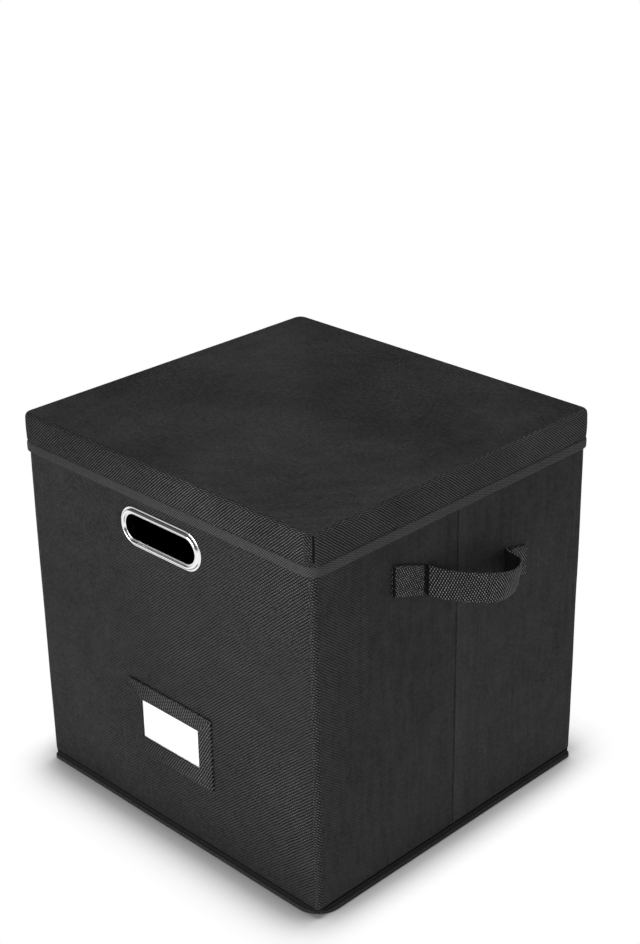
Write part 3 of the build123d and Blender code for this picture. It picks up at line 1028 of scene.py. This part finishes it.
# ---- stitching ----
def stitch_row(name, line, face_of, length, gap, half_width, rise):
    """Short raised threads along a line of points; face_of gives the outward direction there."""
    lengths = running_length(line)
    points, faces, uvs = [], [], []
    place = gap
    index = 0
    while place + length < lengths[-1]:
        ends = []
        for wanted in (place, place + length / 2, place + length):
            while index < len(lengths) - 2 and lengths[index + 1] < wanted:
                index += 1
            share = (wanted - lengths[index]) / max(lengths[index + 1] - lengths[index], 1e-6)
            ends.append(Vector(line[index]).lerp(Vector(line[index + 1]), share))
        start, middle, end = ends
        out = face_of(middle)
        wide = out.cross((end - start).normalized()) * half_width
        base = len(points)
        points += [start, end, middle + wide, middle - wide, middle + out * rise,
                   middle - out * rise * 0.4, start.lerp(middle, 0.45) + out * rise * 0.8,
                   end.lerp(middle, 0.45) + out * rise * 0.8]
        for tri in ((0, 2, 6), (6, 2, 4), (4, 2, 7), (7, 2, 1), (0, 6, 3), (6, 4, 3), (4, 7, 3),
                    (7, 1, 3), (0, 5, 2), (2, 5, 1), (1, 5, 3), (3, 5, 0)):
            faces.append([base + k for k in tri])
            uvs.append([(0, 0), (1, 0), (1, 1)])
        place += length + gap
        index = max(0, index - 1)
    return mesh_object(name, points, faces, uvs, thread)


def ring_out(point):
    """Outward direction in plan at a point of the lid's outline."""
    sx, sy = lid_x - lid_corner, lid_y - lid_corner
    away_x = point.x - max(-sx, min(sx, point.x))
    away_y = point.y - max(-sy, min(sy, point.y))
    return Vector((away_x, away_y, 0)).normalized()


groove = [origin + out * -0.35 + Z * lid_groove_z
          for origin, out, up in ring_line(lid_x, lid_y, lid_corner, 5.0, 10)]
groove.append(groove[0])
lid_stitches = stitch_row("lid_edge_stitches", groove, ring_out, 2.3, 0.9, 0.28, 0.22)
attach(lid_stitches, "lid")

seam_x, seam_low = pocket_half_width - 3.0, pocket_z - (pocket_half_height - 3.0)
seam_high = pocket_z + pocket_half_height
pocket_seam = [Vector((x, -wall_y - 2.4, z)) for x, z in (
    (-seam_x, seam_high), (-seam_x, seam_low), (seam_x, seam_low), (seam_x, seam_high))]
pocket_stitches = stitch_row("pocket_stitches", pocket_seam, lambda p: -Y, 2.0, 0.8, 0.22, 0.15)
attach(pocket_stitches, "base_and_front")

# ---- stage ----
floor_half, floor_z = 6000, -0.2
floor_corners = [(x * floor_half, y * floor_half, floor_z)
                 for x, y in ((-1, -1), (1, -1), (1, 1), (-1, 1))]
floor = mesh_object("studio_floor", floor_corners, [(0, 1, 2, 3)],
                    [[(0, 0), (1, 0), (1, 1), (0, 1)]], floor_finish("studio_floor_white"))

world = bpy.data.worlds.new("studio")
bpy.context.scene.world = world
world.use_nodes = True
sky = world.node_tree
direction = sky.nodes.new("ShaderNodeTexCoord")
parts = sky.nodes.new("ShaderNodeSeparateXYZ")
level = sky.nodes.new("ShaderNodeMapRange")
level.interpolation_type = "SMOOTHSTEP"
for key, number in (("From Min", 0.04), ("From Max", 0.26), ("To Min", 0.80), ("To Max", 0.10)):
    level.inputs[key].default_value = number
backdrop = sky.nodes["Background"]
backdrop.inputs["Color"].default_value = (1.0, 1.0, 1.0, 1.0)
for source, target in ((direction.outputs["Generated"], parts.inputs[0]),
                       (parts.outputs["Z"], level.inputs["Value"]),
                       (level.outputs["Result"], backdrop.inputs["Strength"])):
    sky.links.new(source, target)


def add_lamp(name, kind, place, target, mirrored, **settings):
    """A lamp aimed at target; mirrored tells whether gloss and metal show it."""
    light = bpy.data.lights.new(name, kind)
    for key, value in settings.items():
        setattr(light, key, value)
    lamp = bpy.data.objects.new(name, light)
    lamp.location = place
    lamp.rotation_euler = (Vector(target) - Vector(place)).to_track_quat("-Z", "Y").to_euler()
    lamp.visible_glossy = mirrored
    bpy.context.scene.collection.objects.link(lamp)


for name, place, width, height, power, mirrored in (
        ("front_softbox", (-0.3, -3.0, 1.2), 2.2, 1.4, 74.0, True),
        ("right_fill", (3.2, -0.4, 0.9), 1.6, 1.2, 16.0, False),
        ("back_fill", (-1.6, 3.0, 1.2), 1.8, 1.2, 26.0, False)):
    add_lamp(name, "AREA", place, (0, 0, 0.15), mirrored, shape="RECTANGLE", size=width,
             size_y=height, energy=power)
add_lamp("overhead", "SUN", (0.03, 0.16, 2.0), (0, 0, 0), False, angle=math.radians(21.0),
         energy=2.1)

# ---- camera ----
camera_place = (0.98318, -0.9641, 0.91405)
heading, tilt, roll = 0.786881, 0.429154, -0.015446
forward = Vector((-math.sin(heading) * math.cos(tilt), math.cos(heading) * math.cos(tilt),
                  -math.sin(tilt)))
level_right = Vector((math.cos(heading), math.sin(heading), 0))
level_up = level_right.cross(forward)
right = level_right * math.cos(roll) + level_up * math.sin(roll)
up = level_up * math.cos(roll) - level_right * math.sin(roll)
lens = bpy.data.cameras.new("photo_camera")
lens.sensor_fit = "AUTO"
lens.sensor_width = 36.0
lens.lens = 68.31
lens.clip_start, lens.clip_end = 0.05, 60.0
camera = bpy.data.objects.new("photo_camera", lens)
camera.matrix_world = Matrix([(right[i], up[i], -forward[i], camera_place[i]) for i in range(3)]
                             + [(0, 0, 0, 1)])
bpy.context.scene.collection.objects.link(camera)
bpy.context.scene.camera = camera
bpy.context.scene.view_settings.view_transform = "Standard"
